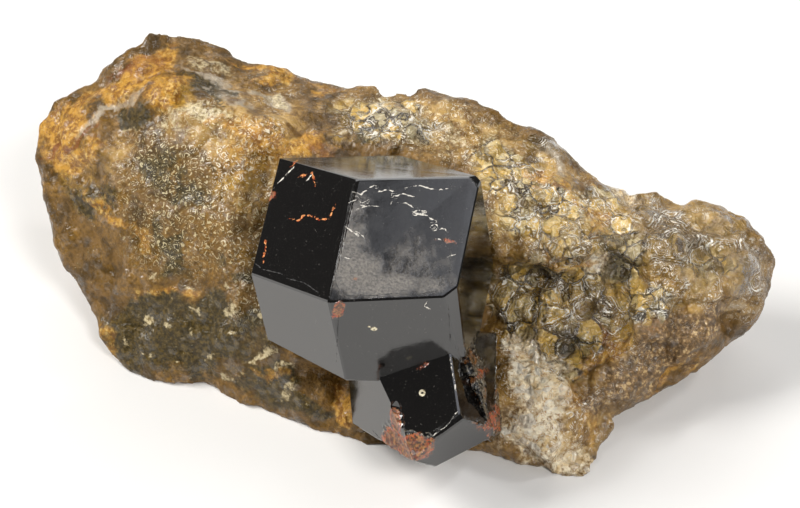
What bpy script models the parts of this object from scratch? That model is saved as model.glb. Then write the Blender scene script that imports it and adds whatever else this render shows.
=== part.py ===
"""Black garnet crystals on a piece of smoky quartz and feldspar matrix, resting on its own flat underside."""

import math

import bmesh
import bpy
from mathutils import Matrix, Vector, noise
from mathutils.geometry import delaunay_2d_cdt

MM = 0.001

# ---- driving dimensions, in millimetres and degrees -------------------------------------------------------
FACE_LEAN = 45.0          # the specimen's show face leans back this far from upright
FACE_ORIGIN_HEIGHT = 14.0  # height of the show face's origin above the table
FOOTPRINT_CENTRE = (-2.0, 8.0)  # what the flanks draw in towards as they go down
FOOTPRINT_SHARE = 0.82    # how much of the outline is left at table level
SKIRT_DEPTH = 3.0         # the blank reaches this far below the table before it is cut flat
CONTACT_GAP = 0.3         # clearance between the garnets and the socket they sit in

LARGE_CENTRE = (-2.25, -1.38, 6.0)   # across, up and out of the show face
LARGE_FACE_DISTANCE = 9.16           # centre to each face of the large garnet
LARGE_UNDERSIDE = ((-4.7, -10.8, 10.8), (-0.15, -0.93, -0.26))  # its lowest face, closer in than the others
LARGE_RIGHT_STRIP = ((5.0, -2.6, 14.14), (0.668, -0.452, 0.593))   # narrow face down its front right edge
LARGE_TOP_CORNER = ((6.38, 6.38, 10.55), (0.581, 0.526, 0.621))    # its blunted top right corner
EDGE_STRIP_DEPTH = 0.1               # the narrow faces along two of its edges are this far in from the edge
EDGE_BEVEL = 0.12                    # natural rounding of the garnet's edges

BREAK_RADIUS = 12.0       # the shell-shaped break across the small garnet's top
BREAK_CENTRE = (3.3, -12.4, 11.0)
BREAK_DEPTH = 0.25
CORNER_CHIP_RADIUS = 5.0  # the rough chips out of its front corner are shallow bowls of this radius
CORNER_CHIPS = [          # middle, facing, and depth of each below the crystal's own faces
    ((1.37, -16.03, 11.2), (-0.12, -0.232, 0.965), 0.25),
    ((-0.6, -16.2, 8.1), (-0.873, -0.32, 0.367), 0.5),
]
EDGE_CHIP_RADIUS = 0.62   # the chips along its front left edge
EDGE_CHIPS = [(-0.5, -13.2, 10.85), (-0.35, -13.9, 11.05), (-0.2, -14.6, 11.2)]
CRUMB_SIZE = 1.1          # size of the crumbs on broken garnet
CRUMB_DEPTH = 0.35

GRAIN = 0.5               # size of the grid that the rock's blank is fused on
FINE_GRAIN = 0.4          # size of the grid that it is fused on again once its relief is on
FRACTURE_SIZE = 5.0       # size of the rock's flat fracture facets
FRACTURE_STEP = 1.2       # how far neighbouring facets step in and out
FRACTURE_TILT = 0.55      # how far they tilt
FRACTURE_JOINT = 0.08     # width of the joint between two facets, as a share of their size
CRUMBLE_SIZE = 2.2        # size of the small crumbly relief
CRUMBLE_DEPTH = 0.3
SLAB_EDGE = -14.0         # left of here the rock is a calmer slab
SLAB_SHARE = 0.55         # how much of the relief the slab shows
FULL_SHARE = 1.3          # how much the lumps at the right show
SLAB_BLEND = 20.0         # how far right of the edge the full relief is reached
OUTLINE_SHARE = 0.3       # how much of the relief the rims of its show face keep
OUTLINE_ALLOWANCE = 0.25  # what fusing on the grid takes off the rims
MATRIX_TRIANGLES = 8400

# The large garnet's three crystal axes, each as across, up and out of the show face.
AXIS_A = Vector((0.708, 0.618, 0.342)).normalized()
AXIS_B = Vector((-0.646, 0.762, -0.039)).normalized()
AXIS_C = Vector((-0.285, -0.193, 0.939)).normalized()

# ---- the rock's outline round its show face, clockwise from the top left, as (across, up, out) ------------
OUTLINE_CREST = [
    (-24.2, 20.0, -10), (-23.2, 21.2, -10), (-20.8, 21.0, -11), (-17.8, 20.0, -12), (-15.0, 18.3, -12),
    (-10.8, 17.4, -12), (-7.5, 16.6, -12), (-4.7, 15.6, -11), (-3.1, 15.8, -10), (0.4, 16.0, -10),
    (5.7, 14.3, -10), (9.1, 13.3, -9), (11.4, 11.8, -8), (13.1, 11.1, -7), (14.2, 10.6, -7),
    (14.8, 9.6, -7), (16.6, 8.0, -7), (18.6, 6.5, -6), (19.6, 5.9, -6),
]
OUTLINE_RIGHT_LUMP = [
    (21.2, 6.8, -5), (23.0, 6.5, -5), (25.0, 5.6, -6), (27.8, 4.5, -6), (29.5, 4.2, -6), (30.3, 3.2, -5),
    (32.9, 2.0, -5), (33.8, 1.1, -5), (34.4, -0.2, -5), (34.0, -3.3, -4), (33.6, -5.6, -4), (32.4, -6.8, -4),
]
OUTLINE_UNDER_RIGHT = [
    (30.3, -7.7, -4), (28.8, -8.9, -4), (27.6, -10.1, -4), (25.8, -11.4, -3), (23.3, -12.8, -3),
    (20.8, -13.9, -2), (19.3, -14.6, -2),
]
OUTLINE_FELDSPAR_FOOT = [
    (18.9, -16.1, -1.5), (17.7, -18.0, -1), (16.6, -19.3, -0.5), (15.5, -19.7, 0), (13.8, -19.5, 0),
    (11.4, -19.1, 0), (9.9, -18.4, 0), (8.3, -17.0, 0), (5.4, -17.3, -1.5), (1.8, -17.8, -2),
]
OUTLINE_SLAB_FOOT = [
    (-1.1, -17.5, -2.2), (-3.0, -17.7, -2.2), (-4.1, -16.6, -3), (-7.4, -16.1, -3.6), (-11.5, -14.8, -5),
    (-15.7, -13.4, -6.3), (-18.5, -11.9, -7.5), (-21.1, -12.2, -7.6), (-24.0, -11.4, -8), (-26.2, -10.3, -8.5),
]
OUTLINE_SLAB_LEFT = [
    (-28.2, -7.7, -9), (-28.7, -5.5, -9.5), (-30.5, -2.6, -10), (-31.9, 0.0, -10), (-32.6, 2.3, -10),
    (-33.3, 5.5, -10), (-34.1, 8.3, -10), (-34.2, 10.4, -10), (-34.1, 12.6, -10), (-32.8, 14.3, -10),
    (-30.5, 15.2, -10), (-28.0, 16.5, -10), (-28.4, 17.4, -10.5), (-27.1, 18.3, -10), (-25.7, 19.4, -10),
]
OUTLINE = (
    OUTLINE_CREST + OUTLINE_RIGHT_LUMP + OUTLINE_UNDER_RIGHT + OUTLINE_FELDSPAR_FOOT + OUTLINE_SLAB_FOOT
    + OUTLINE_SLAB_LEFT
)

# ---- the relief inside the outline, region by region -------------------------------------------------------
RELIEF = {
    "slab_ridge": [
        (-31.7, 10.6, -8), (-27.7, 12.2, -6), (-24.4, 13.4, -5), (-21.6, 15.5, -5), (-19.2, 14.6, -4),
        (-16.0, 13.3, -3.5), (-13.2, 12.0, -3), (-10.9, 9.9, -2.5),
    ],
    "top_left_bevel": [
        (-30.9, 13.3, -9), (-27.1, 15.5, -8.5), (-26.1, 13.2, -7.2), (-23.4, 18.1, -8.5), (-20.1, 17.9, -8.5),
        (-17.6, 16.0, -7.5),
    ],
    "smoky_slab": [
        (-30.8, 6.9, -8.5), (-26.8, 7.7, -5.5), (-21.9, 9.5, -3), (-17.2, 9.4, -1.5), (-14.0, 8.5, -1),
        (-28.9, 2.2, -8), (-24.9, 1.3, -5), (-20.1, 2.2, -3), (-15.4, 1.3, -1.2), (-26.0, -4.3, -7),
        (-21.2, -5.2, -5), (-16.4, -5.1, -2.5), (-13.1, -5.1, -1), (-23.2, -8.9, -7), (-18.4, -9.3, -5.5),
        (-13.7, -10.6, -3.5), (-9.1, -12.9, -3), (-5.9, -14.2, -2.5), (-11.7, -8.2, -0.5),
    ],
    "top_band": [
        (-15.1, 16.9, -10.5), (-9.4, 15.4, -10), (-5.2, 14.6, -9.5), (-13.9, 14.8, -7), (-9.2, 12.9, -6),
    ],
    "pale_quartz": [
        (-4.6, 12.5, -5.5), (0.0, 12.4, -6), (4.6, 11.9, -6), (9.3, 11.0, -6.5), (12.9, 10.1, -6),
        (-6.4, 10.4, -4), (-1.8, 10.0, -4), (2.7, 9.3, -3.5), (7.3, 8.1, -2.5),
    ],
    "beside_garnet": [(9.1, 6.7, -1.5), (10.8, 4.9, -0.5), (13.6, 5.8, -2), (16.5, 5.4, -3.5)],
    "ledge": [
        (9.0, 3.5, 0.5), (11.6, 2.1, 1.5), (14.3, 1.7, 1.5), (17.1, 2.6, 0), (9.0, 0.4, 1), (11.6, -0.4, 2),
        (14.3, -0.1, 2), (17.0, 0.8, 1),
    ],
    "under_ledge": [(9.1, -1.3, -2.5), (11.9, -1.6, -3), (14.6, -1.5, -2.5), (17.2, -0.7, -1)],
    "smoky_grains": [
        (9.1, -4.2, -3), (11.8, -5.1, -2.5), (14.5, -4.2, -2), (17.2, -4.2, -1), (18.9, -2.3, -0.5),
        (19.8, -6.0, -0.5), (18.0, -8.7, -0.5), (14.5, -8.2, -1.5), (10.9, -7.8, -2),
    ],
    "right_lump": [
        (20.0, 3.5, -2.5), (21.8, 4.0, -2), (23.4, 1.3, 0), (26.0, 0.4, 0.5), (28.8, -0.1, 0),
        (31.8, -0.5, -2), (27.4, 2.6, -3), (25.1, -3.2, 1), (28.7, -3.2, 0.5), (32.2, -3.3, -2),
        (21.6, 0.4, -0.5), (22.5, -1.9, 0),
    ],
    "brown_face": [
        (31.3, -5.1, -1.5), (26.9, -5.5, 0.8), (23.3, -6.4, 1.2), (21.0, -8.1, 1.2), (17.9, -11.7, 1.2),
        (15.6, -13.9, 1.5), (31.0, -6.2, -3), (27.2, -8.3, -1.8), (23.5, -10.5, -1), (19.8, -12.7, -0.5),
        (17.1, -14.5, 0),
    ],
    "feldspar_foot": [
        (9.5, -8.2, -1), (12.6, -8.6, 0.5), (13.9, -11.3, 1.5), (10.7, -12.2, 1.5), (9.0, -13.1, 1),
        (9.8, -15.7, 1.5), (12.9, -15.7, 2.2), (15.6, -16.6, 1.5), (13.0, -18.4, 1.2), (17.1, -16.7, 0.5),
    ],
}

# ---- the small garnet's faces, each as a point on it and the way it faces ----------------------------------
SMALL_FACES = [
    ((-2.23, -10.8, 10.06), (-0.045, 0.24, 0.97)),  # top, broken shell-like
    ((-0.77, -12.68, 10.62), (-0.873, -0.32, 0.367)),  # left
    ((2.64, -15.86, 11.56), (0.533, -0.639, 0.555)),   # lower right
    ((4.38, -8.94, 9.93), (0.82, 0.249, 0.516)),   # right, striated
    ((3.67, -14.64, 11.28), (0.3, -0.24, 0.924)),  # narrow, between top and lower right
    ((1.37, -16.03, 11.3), (-0.12, -0.232, 0.965)),  # where the front corner has come off
    ((1.11, -17.72, 10.7), (-0.38, -0.925, -0.02)),  # underside, left
    ((2.95, -18.54, 8.18), (0.3, -0.9, -0.32)),    # underside, right
    ((7.88, -16.28, 6.0), (0.93, -0.2, -0.3)),     # right flank
    ((-4.4, -15.6, 1.0), (-1.0, 0.0, -0.1)),       # left flank
    ((1.0, -12.0, -1.5), (0.0, 0.0, -1.0)),        # inside the rock
    ((1.0, -7.0, 6.0), (0.0, 1.0, 0.0)),           # inside the large garnet
]
BROKEN_MASS = [
    (5.1, -8.5, 8.3), (5.5, -7.9, 6.5), (6.2, -7.7, 5.0), (7.0, -7.5, 4.0), (7.6, -8.1, 3.2), (8.0, -9.4, 3.2),
    (8.3, -11.0, 3.2), (8.6, -12.9, 3.2), (8.9, -14.3, 3.2), (9.0, -15.6, 3.2), (8.1, -16.6, 3.6),
    (6.0, -8.9, 8.6), (6.4, -10.2, 8.7), (6.9, -11.9, 8.5), (7.3, -13.5, 8.3), (7.7, -14.8, 7.4), (7.6, -15.9, 6.0),
    (5.6, -8.7, -1.0), (7.7, -8.4, -1.0), (9.0, -13.4, -1.0), (9.0, -16.1, -1.0), (7.1, -16.5, -1.0),
]

# ---- frame -------------------------------------------------------------------------------------------------
LEAN = math.radians(FACE_LEAN)
FACE_TO_WORLD = Matrix((
    (1.0, 0.0, 0.0),
    (0.0, math.sin(LEAN), -math.cos(LEAN)),
    (0.0, math.cos(LEAN), math.sin(LEAN)),
))


def place(point):
    """Carries a point given in the show face's frame, in millimetres, to its place above the table."""
    return FACE_TO_WORLD @ Vector(point) + Vector((0.0, 0.0, FACE_ORIGIN_HEIGHT))


def clear_scene():
    for obj in list(bpy.data.objects):
        bpy.data.objects.remove(obj, do_unlink=True)


def collection(name):
    made = bpy.data.collections.new(name)
    bpy.context.scene.collection.children.link(made)
    return made


def object_from(bm, name, holder):
    """Ends a bmesh as an object in the holder collection, its coordinates still in millimetres."""
    mesh = bpy.data.meshes.new(name)
    bmesh.ops.recalc_face_normals(bm, faces=bm.faces)
    bm.to_mesh(mesh)
    bm.free()
    made = bpy.data.objects.new(name, mesh)
    holder.objects.link(made)
    return made


def with_modifiers(obj):
    """Replaces an object's mesh by what its modifiers make of it."""
    graph = bpy.context.evaluated_depsgraph_get()
    graph.update()
    mesh = bpy.data.meshes.new_from_object(obj.evaluated_get(graph))
    obj.modifiers.clear()
    obj.data = mesh
    return mesh


def boolean(obj, tool, operation):
    cut = obj.modifiers.new(operation.lower(), "BOOLEAN")
    cut.operation = operation
    cut.solver = "EXACT"
    cut.object = tool
    with_modifiers(obj)


# ---- garnets -----------------------------------------------------------------------------------------------
def solid_of_faces(faces, gap):
    """The convex solid behind a list of faces, each moved outwards by gap."""
    bm = bmesh.new()
    bmesh.ops.create_cube(bm, size=120.0)
    for point, facing in faces:
        normal = (FACE_TO_WORLD @ Vector(facing)).normalized()
        cut = bmesh.ops.bisect_plane(
            bm,
            geom=bm.verts[:] + bm.edges[:] + bm.faces[:],
            plane_co=place(point) + normal * gap,
            plane_no=normal,
            clear_outer=True,
            dist=1e-5,
        )
        rim = [e for e in cut["geom_cut"] if isinstance(e, bmesh.types.BMEdge)]
        bmesh.ops.contextual_create(bm, geom=rim)
    return bm


def large_faces():
    """The faces of a rhombic dodecahedron, each halfway between two crystal axes, and the few smaller faces."""
    centre = Vector(LARGE_CENTRE)
    faces = [LARGE_UNDERSIDE, LARGE_RIGHT_STRIP, LARGE_TOP_CORNER]
    edge_distance = LARGE_FACE_DISTANCE / math.cos(math.radians(30.0)) - EDGE_STRIP_DEPTH
    for strip in (AXIS_A + AXIS_B + AXIS_C * 2, AXIS_A + AXIS_B * 2 + AXIS_C):
        faces.append((centre + strip.normalized() * edge_distance, strip.normalized()))
    for first, second in ((AXIS_A, AXIS_B), (AXIS_B, AXIS_C), (AXIS_C, AXIS_A)):
        for sign_1 in (1, -1):
            for sign_2 in (1, -1):
                facing = (first * sign_1 + second * sign_2).normalized()
                faces.append((centre + facing * LARGE_FACE_DISTANCE, facing))
    return faces


def bevelled(bm):
    """Rounds every edge a little, once corners closer together than two bevels are one corner."""
    bmesh.ops.remove_doubles(bm, verts=bm.verts, dist=EDGE_BEVEL * 2.2)
    bmesh.ops.bevel(bm, geom=bm.edges[:], offset=EDGE_BEVEL, segments=1, affect="EDGES", profile=0.5)
    return bm


def crumbled(bm):
    """Gives a solid of garnet the relief of crumbs."""
    bmesh.ops.triangulate(bm, faces=bm.faces)
    long_edges = [e for e in bm.edges if e.calc_length() > CRUMB_SIZE]
    bmesh.ops.subdivide_edges(bm, edges=long_edges, cuts=2, use_grid_fill=True)
    bmesh.ops.triangulate(bm, faces=bm.faces)
    bm.normal_update()
    for vert in bm.verts:
        vert.co += vert.normal * noise.noise(vert.co / CRUMB_SIZE) * CRUMB_DEPTH
    return bm


def broken_mass(gap):
    """The broken garnet between the small crystal and the rock."""
    bm = bmesh.new()
    middle = sum((place(p) for p in BROKEN_MASS), Vector()) / len(BROKEN_MASS)
    for point in BROKEN_MASS:
        away = (place(point) - middle).normalized()
        bm.verts.new(place(point) + away * gap)
    bmesh.ops.convex_hull(bm, input=bm.verts)
    return bm


def ball(radius, centre, subdivisions):
    bm = bmesh.new()
    bmesh.ops.create_icosphere(bm, subdivisions=subdivisions, radius=radius)
    bmesh.ops.translate(bm, verts=bm.verts, vec=centre)
    return bm


def garnets(holder, tools):
    large = object_from(bevelled(solid_of_faces(large_faces(), 0.0)), "garnet_crystals", holder)
    small = object_from(bevelled(solid_of_faces(SMALL_FACES, 0.0)), "small_garnet", tools)
    facing = (FACE_TO_WORLD @ Vector(SMALL_FACES[0][1])).normalized()
    break_middle = place(BREAK_CENTRE) + facing * (BREAK_RADIUS - BREAK_DEPTH)
    boolean(small, object_from(ball(BREAK_RADIUS, break_middle, 4), "shell_break", tools), "DIFFERENCE")
    for middle, facing, depth in CORNER_CHIPS:
        out = (FACE_TO_WORLD @ Vector(facing)).normalized()
        chip = crumbled(ball(CORNER_CHIP_RADIUS, place(middle) + out * (CORNER_CHIP_RADIUS - depth), 4))
        boolean(small, object_from(chip, "corner_chip", tools), "DIFFERENCE")
    for middle in EDGE_CHIPS:
        chip = crumbled(ball(EDGE_CHIP_RADIUS, place(middle), 2))
        boolean(small, object_from(chip, "edge_chip", tools), "DIFFERENCE")
    boolean(large, small, "UNION")
    boolean(large, object_from(crumbled(broken_mass(0.0)), "broken_garnet", tools), "UNION")
    return large


def socket(tools):
    """The garnets grown by the contact gap, as one cutter."""
    cutter = object_from(solid_of_faces(large_faces(), CONTACT_GAP), "socket", tools)
    small = object_from(solid_of_faces(SMALL_FACES, CONTACT_GAP), "socket_small", tools)
    rubble = object_from(broken_mass(CONTACT_GAP + CRUMB_DEPTH), "socket_broken", tools)
    boolean(cutter, small, "UNION")
    boolean(cutter, rubble, "UNION")
    return cutter


# ---- rock --------------------------------------------------------------------------------------------------
def matrix_blank():
    """The rock as a closed solid: the show face over its outline, flanks that draw in, and a flat skirt."""
    points = OUTLINE + [p for region in RELIEF.values() for p in region]
    rim = list(range(len(OUTLINE)))
    flat = [Vector((p[0], p[1])) for p in points]
    places, _, triangles, origins, _, _ = delaunay_2d_cdt(flat, [], [rim], 1, 1e-4)
    bm = bmesh.new()
    verts = []
    for spot, origin in zip(places, origins):
        out = points[origin[0]][2]
        verts.append(bm.verts.new(place((spot.x, spot.y, out))))
    for triangle in triangles:
        bm.faces.new([verts[i] for i in triangle])
    ring = [verts[[o[0] for o in origins].index(i)] for i in rim]
    centre = Vector(FOOTPRINT_CENTRE)
    lower = []
    for vert in ring:
        spot = centre + (vert.co.xy - centre) * FOOTPRINT_SHARE
        lower.append(bm.verts.new((spot.x, spot.y, -SKIRT_DEPTH)))
    for i, vert in enumerate(ring):
        nxt = (i + 1) % len(ring)
        bm.faces.new((vert, ring[nxt], lower[nxt], lower[i]))
    bm.faces.new(lower)
    return bm


def facet(spot, seed):
    """How far a plane through one fracture cell's seed, with a tilt of its own, stands out at this spot."""
    tilt = Vector((noise.noise(seed * 1.7), noise.noise(seed * 2.3), noise.noise(seed * 2.9)))
    return noise.noise(seed * 3.1) * FRACTURE_STEP + (spot - seed * FRACTURE_SIZE).dot(tilt) * FRACTURE_TILT


def facet_step(spot):
    """How far the fracture facet at this spot stands out, with a soft joint to the next facet."""
    distances, seeds = noise.voronoi(spot / FRACTURE_SIZE)
    own = min(1.0, (distances[1] - distances[0]) / FRACTURE_JOINT) * 0.5 + 0.5
    return facet(spot, seeds[0]) * own + facet(spot, seeds[1]) * (1.0 - own)


def roughen(mesh):
    """Moves the rock's surface by its facets and crumbs, less on the smoky slab and least at the outline."""
    out = FACE_TO_WORLD @ Vector((0.0, 0.0, 1.0))
    shifts = []
    for vert in mesh.vertices:
        rise = min(1.0, max(0.0, (vert.co.x - SLAB_EDGE) / SLAB_BLEND))
        share = SLAB_SHARE + (FULL_SHARE - SLAB_SHARE) * rise
        share *= OUTLINE_SHARE + (1.0 - OUTLINE_SHARE) * abs(vert.normal.dot(out))
        crumble = noise.fractal(vert.co / CRUMBLE_SIZE, 1.0, 2.0, 3) * CRUMBLE_DEPTH
        shifts.append(vert.normal * ((facet_step(vert.co) + crumble) * share + OUTLINE_ALLOWANCE))
    for vert, shift in zip(mesh.vertices, shifts):
        vert.co += shift


def cut_flat(mesh):
    bm = bmesh.new()
    bm.from_mesh(mesh)
    cut = bmesh.ops.bisect_plane(
        bm, geom=bm.verts[:] + bm.edges[:] + bm.faces[:], plane_co=(0, 0, 0), plane_no=(0, 0, -1), clear_outer=True
    )
    rim = [e for e in cut["geom_cut"] if isinstance(e, bmesh.types.BMEdge)]
    bmesh.ops.holes_fill(bm, edges=rim)
    bmesh.ops.triangulate(bm, faces=bm.faces)
    bm.to_mesh(mesh)
    bm.free()


def fuse(rock, grain):
    grid = rock.modifiers.new("fuse", "REMESH")
    grid.mode = "VOXEL"
    grid.voxel_size = grain
    with_modifiers(rock)


def matrix(holder, tools):
    rock = object_from(matrix_blank(), "quartz_matrix", holder)
    fuse(rock, GRAIN)
    roughen(rock.data)
    fuse(rock, FINE_GRAIN)
    thin = rock.modifiers.new("thin", "DECIMATE")
    thin.ratio = MATRIX_TRIANGLES / (2 * len(rock.data.polygons))
    cut_flat(with_modifiers(rock))
    boolean(rock, socket(tools), "DIFFERENCE")
    return rock


# ---- finish ------------------------------------------------------------------------------------------------
def material(obj, colour, roughness):
    made = bpy.data.materials.new(obj.name)
    made.use_nodes = True
    shader = made.node_tree.nodes["Principled BSDF"]
    shader.inputs["Base Color"].default_value = (*colour, 1.0)
    shader.inputs["Roughness"].default_value = roughness
    obj.data.materials.clear()
    obj.data.materials.append(made)


def to_metres(obj):
    obj.data.transform(Matrix.Scale(MM, 4))


clear_scene()
specimen = collection("garnet_in_matrix")
cutters = collection("cutters")
crystals = garnets(specimen, cutters)
rock = matrix(specimen, cutters)
for piece in list(cutters.objects):
    piece.hide_render = True
    piece.display_type = "WIRE"
for piece in list(specimen.objects) + list(cutters.objects):
    to_metres(piece)
material(crystals, (0.02, 0.016, 0.016), 0.1)
material(rock, (0.23, 0.17, 0.10), 0.7)
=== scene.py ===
import math

import bmesh
import bpy
import numpy as np
from mathutils import Matrix, Vector, noise
from mathutils.bvhtree import BVHTree


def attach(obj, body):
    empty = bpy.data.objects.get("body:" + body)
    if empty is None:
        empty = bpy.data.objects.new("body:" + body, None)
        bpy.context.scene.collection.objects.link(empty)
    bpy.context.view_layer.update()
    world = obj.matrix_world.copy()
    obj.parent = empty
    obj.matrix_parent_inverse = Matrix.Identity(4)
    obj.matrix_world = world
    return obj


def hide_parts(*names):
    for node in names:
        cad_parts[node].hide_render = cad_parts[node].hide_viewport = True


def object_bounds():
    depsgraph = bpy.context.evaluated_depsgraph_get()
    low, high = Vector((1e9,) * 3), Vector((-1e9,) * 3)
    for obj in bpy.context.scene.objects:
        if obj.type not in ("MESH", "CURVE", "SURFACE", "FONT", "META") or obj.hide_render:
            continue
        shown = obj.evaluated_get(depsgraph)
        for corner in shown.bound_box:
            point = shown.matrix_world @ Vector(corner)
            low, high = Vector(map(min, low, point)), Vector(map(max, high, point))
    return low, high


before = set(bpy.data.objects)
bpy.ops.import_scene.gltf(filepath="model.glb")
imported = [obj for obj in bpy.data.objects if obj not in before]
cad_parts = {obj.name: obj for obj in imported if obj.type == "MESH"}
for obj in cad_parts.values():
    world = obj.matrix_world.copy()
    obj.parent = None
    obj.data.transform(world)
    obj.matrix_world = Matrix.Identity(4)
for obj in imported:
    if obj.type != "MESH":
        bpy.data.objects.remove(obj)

MM = 0.001
cad_box = [list(corner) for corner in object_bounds()]

# ---- Quartz matrix ------------------------------------------------------------------------------------------
# The rock that the garnets grew in: smoky quartz and cream feldspar, broken by hand and stained by iron. Its
# left half is one big smoky slab; the right half is a jumble of glassy grains, a feldspar foot and a brown
# fracture. The places below are across, up and out of the show face, which leans back, in millimetres.
FACE_LEAN = math.radians(45.0)
FACE_ORIGIN_HEIGHT = 14.0
FACE_TO_WORLD = Matrix((
    (1.0, 0.0, 0.0),
    (0.0, math.sin(FACE_LEAN), -math.cos(FACE_LEAN)),
    (0.0, math.cos(FACE_LEAN), math.sin(FACE_LEAN)),
))
MESH_GRID = 0.28          # the mesh is this fine, so that the surface can carry its relief
CONTACT_REACH = 0.75      # rock this close to a garnet closes up to it


def linear(code):
    """An sRGB hex colour as the linear red, green, blue and alpha that a shader takes."""
    parts = [int(code[i:i + 2], 16) / 255 for i in (1, 3, 5)]
    return [c / 12.92 if c <= 0.04045 else ((c + 0.055) / 1.055) ** 2.4 for c in parts] + [1.0]


def node(tree, kind, inputs=None, **settings):
    """Adds a shader node, sets its settings, and sets or links its inputs."""
    made = tree.nodes.new(kind)
    for name, value in settings.items():
        setattr(made, name, value)
    for name, value in (inputs or {}).items():
        if isinstance(value, bpy.types.NodeSocket):
            tree.links.new(value, made.inputs[name])
        else:
            made.inputs[name].default_value = value
    return made


def face_places(mesh):
    """Every vertex of a mesh in the show face's frame, in millimetres, as an array."""
    places = np.empty(len(mesh.vertices) * 3, np.float64)
    mesh.vertices.foreach_get("co", places)
    places = places.reshape(-1, 3) / MM
    places[:, 2] -= FACE_ORIGIN_HEIGHT
    return places @ np.array(FACE_TO_WORLD)


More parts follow.
